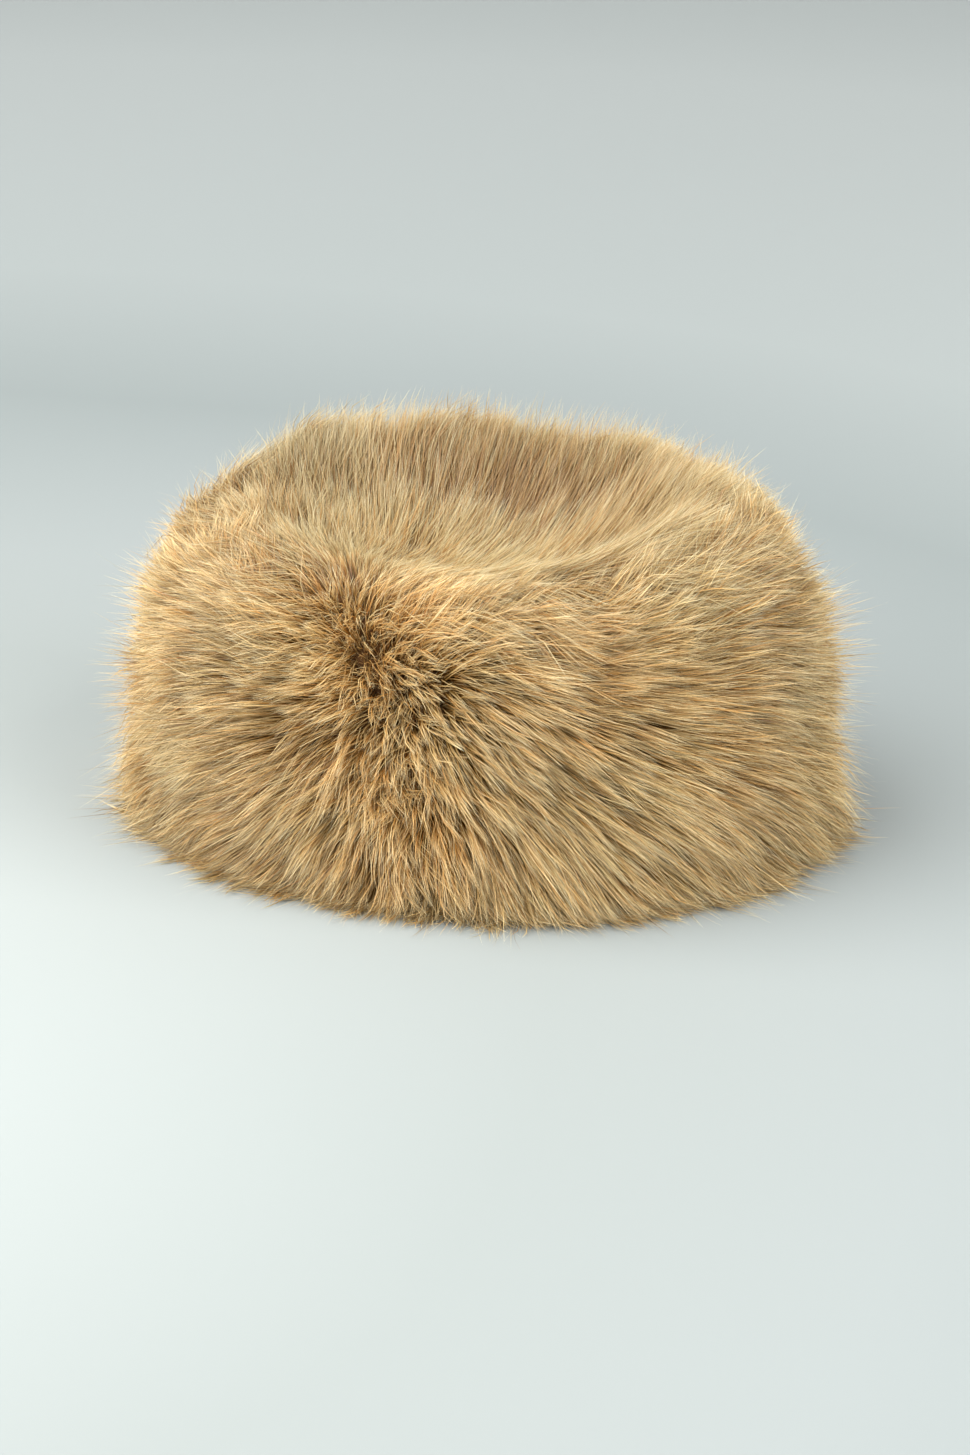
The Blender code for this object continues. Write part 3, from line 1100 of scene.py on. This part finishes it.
    @staticmethod
    def turned(push: Array, by: Array) -> Array:
        """Turns pushes in their own plane, by angles in radians."""
        cos, sin = np.cos(by), np.sin(by)
        return np.stack(
            (push[:, 0] * cos - push[:, 1] * sin, push[:, 0] * sin + push[:, 1] * cos), axis=1
        )

    def ribbon_piece(self, name: str, fibres: Fibres, dyes: list) -> bpy.types.Object:
        """Makes one piece of fibres, as tapered ribbons.

        Args:
            name: The piece's name.
            fibres: The fibres of the piece.
            dyes: The fibre materials, in the order of Dye.

        Returns:
            The new object.
        """
        line = fibres.line
        count, nodes = line.shape[:2]
        run = np.gradient(line, axis=1)
        run /= np.maximum(np.linalg.norm(run, axis=2, keepdims=True), 1e-12)
        side = np.cross(run, fibres.face)
        side /= np.maximum(np.linalg.norm(side, axis=2, keepdims=True), 1e-9)
        over = np.cross(side, run)
        roll = fibres.roll[:, None, None]
        side = side * np.cos(roll) + over * np.sin(roll)
        taper = np.linspace(1.0, self.taper, nodes - 1)[None, :, None]
        half = 0.5 * fibres.width[:, None, None] * taper
        verts = np.empty((count, 2 * (nodes - 1) + 1, 3))
        verts[:, 0:-1:2] = line[:, :-1] - side[:, :-1] * half
        verts[:, 1:-1:2] = line[:, :-1] + side[:, :-1] * half
        verts[:, -1] = line[:, -1]
        each = verts.shape[1]
        corners = []
        for k in range(nodes - 2):
            corners += [2 * k, 2 * k + 1, 2 * k + 3, 2 * k + 2]
        corners += [each - 3, each - 2, each - 1]
        sizes = [4] * (nodes - 2) + [3]
        loops = (np.arange(count)[:, None] * each + np.array(corners)[None, :]).ravel()
        starts = np.concatenate(([0], np.cumsum(sizes)[:-1]))
        loop_starts = np.arange(count)[:, None] * len(corners) + starts[None, :]
        mesh = bpy.data.meshes.new(name)
        mesh.vertices.add(count * each)
        mesh.loops.add(len(loops))
        mesh.polygons.add(count * len(sizes))
        mesh.vertices.foreach_set("co", verts.astype(np.float32).ravel())
        mesh.loops.foreach_set("vertex_index", loops.astype(np.int32))
        mesh.polygons.foreach_set("loop_start", loop_starts.astype(np.int32).ravel())
        dye = np.repeat(fibres.dye, len(sizes)).astype(np.int32)
        mesh.polygons.foreach_set("material_index", dye)
        mesh.update(calc_edges=True)

        for layer, table in self.maps(fibres, each, nodes).items():
            values = table[:, corners].astype(np.float32)
            mesh.uv_layers.new(name=layer).data.foreach_set("uv", values.ravel())
        for material in dyes:
            mesh.materials.append(material)
        mesh.validate()
        piece = add_object(name, mesh)
        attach(piece, "root")
        LOG.info("%s: %d fibres, %d faces", name, count, len(mesh.polygons))
        return piece

    def maps(self, fibres: Fibres, each: int, nodes: int) -> dict[str, Array]:
        """Makes the two maps of a piece.

        The strand map's columns are tones and its height is the place along the fibre. The
        OFBake map stacks three such fields, one for each dye, with a margin round each.

        Args:
            fibres: The fibres of the piece.
            each: Corners of a ribbon.
            nodes: Nodes of a fibre.

        Returns:
            The maps by name, with the columns fibre, corner, UV.
        """
        across = np.zeros(each)
        across[0:-1:2], across[1:-1:2] = -0.5, 0.5
        along = fibres.along[:, np.repeat(np.arange(nodes), 2)[:each]]
        column = np.floor(fibres.tone * self.tone_columns)[:, None] + 0.5
        wide = (column + 0.7 * across[None, :]) / self.tone_columns
        high = (fibres.dye[:, None] + 0.04 + 0.92 * along) / len(Dye)
        middle = np.broadcast_to(column / self.tone_columns, wide.shape)
        return {
            "OFBake": np.stack((wide, high), axis=2),
            "strand_map": np.stack((middle, along), axis=2),
        }

    def undercoat_piece(
        self, name: str, ways: Array, material: bpy.types.Material, node: str
    ) -> bpy.types.Object:
        """Makes the undercoat over one panel, as a furrowed skin in the fur.

        Args:
            name: The piece's name.
            ways: The ways of its rings, from the outside edge on.
            material: The undercoat's material.
            node: The CAD node that it stands for.

        Returns:
            The new object.
        """
        turns = self.coat_turns
        angle = np.linspace(0.0, 2.0 * np.pi, turns, endpoint=False)
        deep, root = np.full(turns, self.coat_depth), np.full(turns, self.coat_root)
        rings = [self.form.between(angle, np.full(turns, ways[0]), root)]
        for way in ways:
            foot = self.form.between(angle, np.full(turns, way), deep)
            furrow = sum(ripple.at(foot) for ripple in self.furrows)
            rings.append(self.form.between(angle, np.full(turns, way), deep + furrow))
        if ways[-1] > 1.5:
            rings.append(self.form.between(np.zeros(1), np.full(1, 2.0), deep[:1]))
        else:
            rings.append(self.form.between(angle, np.full(turns, ways[-1]), root))
        for ring in rings:
            ring[:, 2] = np.maximum(ring[:, 2], self.coat_floor)
        piece = add_skin(name, rings, material)
        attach(piece, "root")
        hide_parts(node)
        LOG.info("%s: %d faces", name, len(piece.data.polygons))
        return piece

    def build(self) -> None:
        """Builds the undercoat and the fibres of both panels."""
        coat = Undercoat().make()
        dyes = [
            PileFibre(Dye.TAN, "482d0e", "9e7a3f", "d4b57e", "f8e6b8").make(),
            PileFibre(Dye.GINGER, "4c2a0a", "a16e2e", "cfa362", "f0d29a").make(),
            PileFibre(Dye.CREAM, "513514", "b5945a", "e3cd98", "fbf2ce").make(),
        ]
        self.undercoat_piece("side_undercoat", np.linspace(0.0, 0.985, 60), coat, "side_fur")
        self.undercoat_piece("crown_undercoat", np.linspace(0.99, 1.97, 50), coat, "crown_fur")
        fibres = self.grow()
        quarter = np.floor((fibres.angle % (2.0 * np.pi)) / (0.5 * np.pi)).astype(int) % 4
        on_band = fibres.way < 1.0
        for index, side in enumerate(("back_right", "back_left", "front_left", "front_right")):
            pick = on_band & (quarter == index)
            self.ribbon_piece("side_pile_" + side, fibres.picked(pick), dyes)
        on_left = np.cos(fibres.angle) < 0.0
        self.ribbon_piece("crown_pile_left", fibres.picked(~on_band & on_left), dyes)
        self.ribbon_piece("crown_pile_right", fibres.picked(~on_band & ~on_left), dyes)


@dataclass(frozen=True)
class Fabric:
    """The two fabric panels, which keep their CAD solids."""

    nodes: tuple[str, str] = ("side_band", "crown_panel")

    def build(self) -> None:
        """Gives the panels the look of the knitted backing."""
        backing = KnitBacking().make()
        for name in self.nodes:
            panel = bpy.data.objects[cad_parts[name].name]
            for slot in panel.material_slots:
                slot.material = backing
            LOG.info("%s: knitted backing", name)


@dataclass(frozen=True)
class SoftLight:
    """A square soft light that faces the hat.

    Its turn round the hat and its height over the floor are in degrees, its distance and
    the length of its sides are in metres, and its power is in watts.
    """

    name: str
    turn: float
    height: float
    far: float
    size: float
    watts: float
    aim_height: float = 0.06

    def add(self) -> None:
        """Adds the light to the scene."""
        lamp = bpy.data.lights.new(self.name, "AREA")
        lamp.size = self.size
        lamp.energy = self.watts
        lamp.color = (1.0, 0.99, 0.975)
        holder = add_object(self.name, lamp)
        turn, height = math.radians(self.turn), math.radians(self.height)
        flat = math.cos(height)
        spot = Vector((math.cos(turn) * flat, math.sin(turn) * flat, math.sin(height)))
        holder.location = spot * self.far + Vector((0.0, 0.0, self.aim_height))
        holder.rotation_euler = spot.to_track_quat("Z", "Y").to_euler()


@dataclass(frozen=True)
class Studio:
    """A pale round cove, soft light from the upper left, and the camera."""

    lights: tuple[SoftLight, ...] = (
        SoftLight("key", -141.0, 44.0, 1.9, 2.7, 102.0),
        SoftLight("fill", -14.0, 36.0, 2.2, 1.8, 53.0),
    )
    sky: str = "e6e8e5"
    sky_strength: float = 1.04
    floor_radius: float = 2.2
    bend: float = 0.9
    wall: float = 2.4
    azimuth: float = 17.5
    elevation: float = 21.9
    distance: float = 1.5
    lens: float = 92.9
    aim_right: float = 0.0021
    aim_height: float = 0.0331

    def cove(self) -> bpy.types.Object:
        """Builds the floor that bends up into a wall all round.

        Returns:
            The staged object.
        """
        section = [(self.floor_radius + self.bend, self.bend + self.wall)]
        for step in np.linspace(0.5 * math.pi, 0.0, 16)[:-1]:
            radius = self.floor_radius + self.bend * math.sin(step)
            section.append((radius, self.bend * (1.0 - math.cos(step))))
        section += [(radius, 0.0) for radius in np.linspace(self.floor_radius, 0.02, 12)]
        turn = np.linspace(0.0, 2.0 * np.pi, 96, endpoint=False)
        circle = np.stack((np.cos(turn), np.sin(turn), np.zeros(96)), axis=1)
        rings = [circle * radius + np.array([0.0, 0.0, up]) for radius, up in section]
        cove = add_skin("cove", rings + [np.zeros((1, 3))], PaintedLightCove().make())
        return cove

    def camera(self) -> None:
        """Sets the camera at the photo's angle."""
        a, e = math.radians(self.azimuth), math.radians(self.elevation)
        right = Vector((math.cos(a), math.sin(a), 0.0))
        back = Vector((math.sin(a) * math.cos(e), -math.cos(a) * math.cos(e), math.sin(e)))
        aim = right * self.aim_right + Vector((0.0, 0.0, self.aim_height))
        data = bpy.data.cameras.new("camera")
        data.lens = self.lens
        data.sensor_width = 36.0
        camera = add_object("camera", data)
        camera.location = aim + back * self.distance
        camera.rotation_euler = back.to_track_quat("Z", "Y").to_euler()
        bpy.context.scene.camera = camera

    def build(self) -> None:
        """Builds the cove, the lights, the sky and the camera."""
        self.cove()
        for light in self.lights:
            light.add()
        world = bpy.data.worlds.new("studio_air")
        world.use_nodes = True
        sky = world.node_tree.nodes["Background"]
        sky.inputs["Color"].default_value = linear(self.sky)
        sky.inputs["Strength"].default_value = self.sky_strength
        bpy.context.scene.world = world
        bpy.context.scene.view_settings.view_transform = "Standard"
        self.camera()


def main() -> None:
    """Builds the studio, the fabric and the fur in order."""
    logging.basicConfig(level=logging.INFO, format="%(message)s")
    Studio().build()
    Fabric().build()
    form = HatForm()
    Fur(form, Combing(form)).build()


if __name__ == "__main__":
    main()
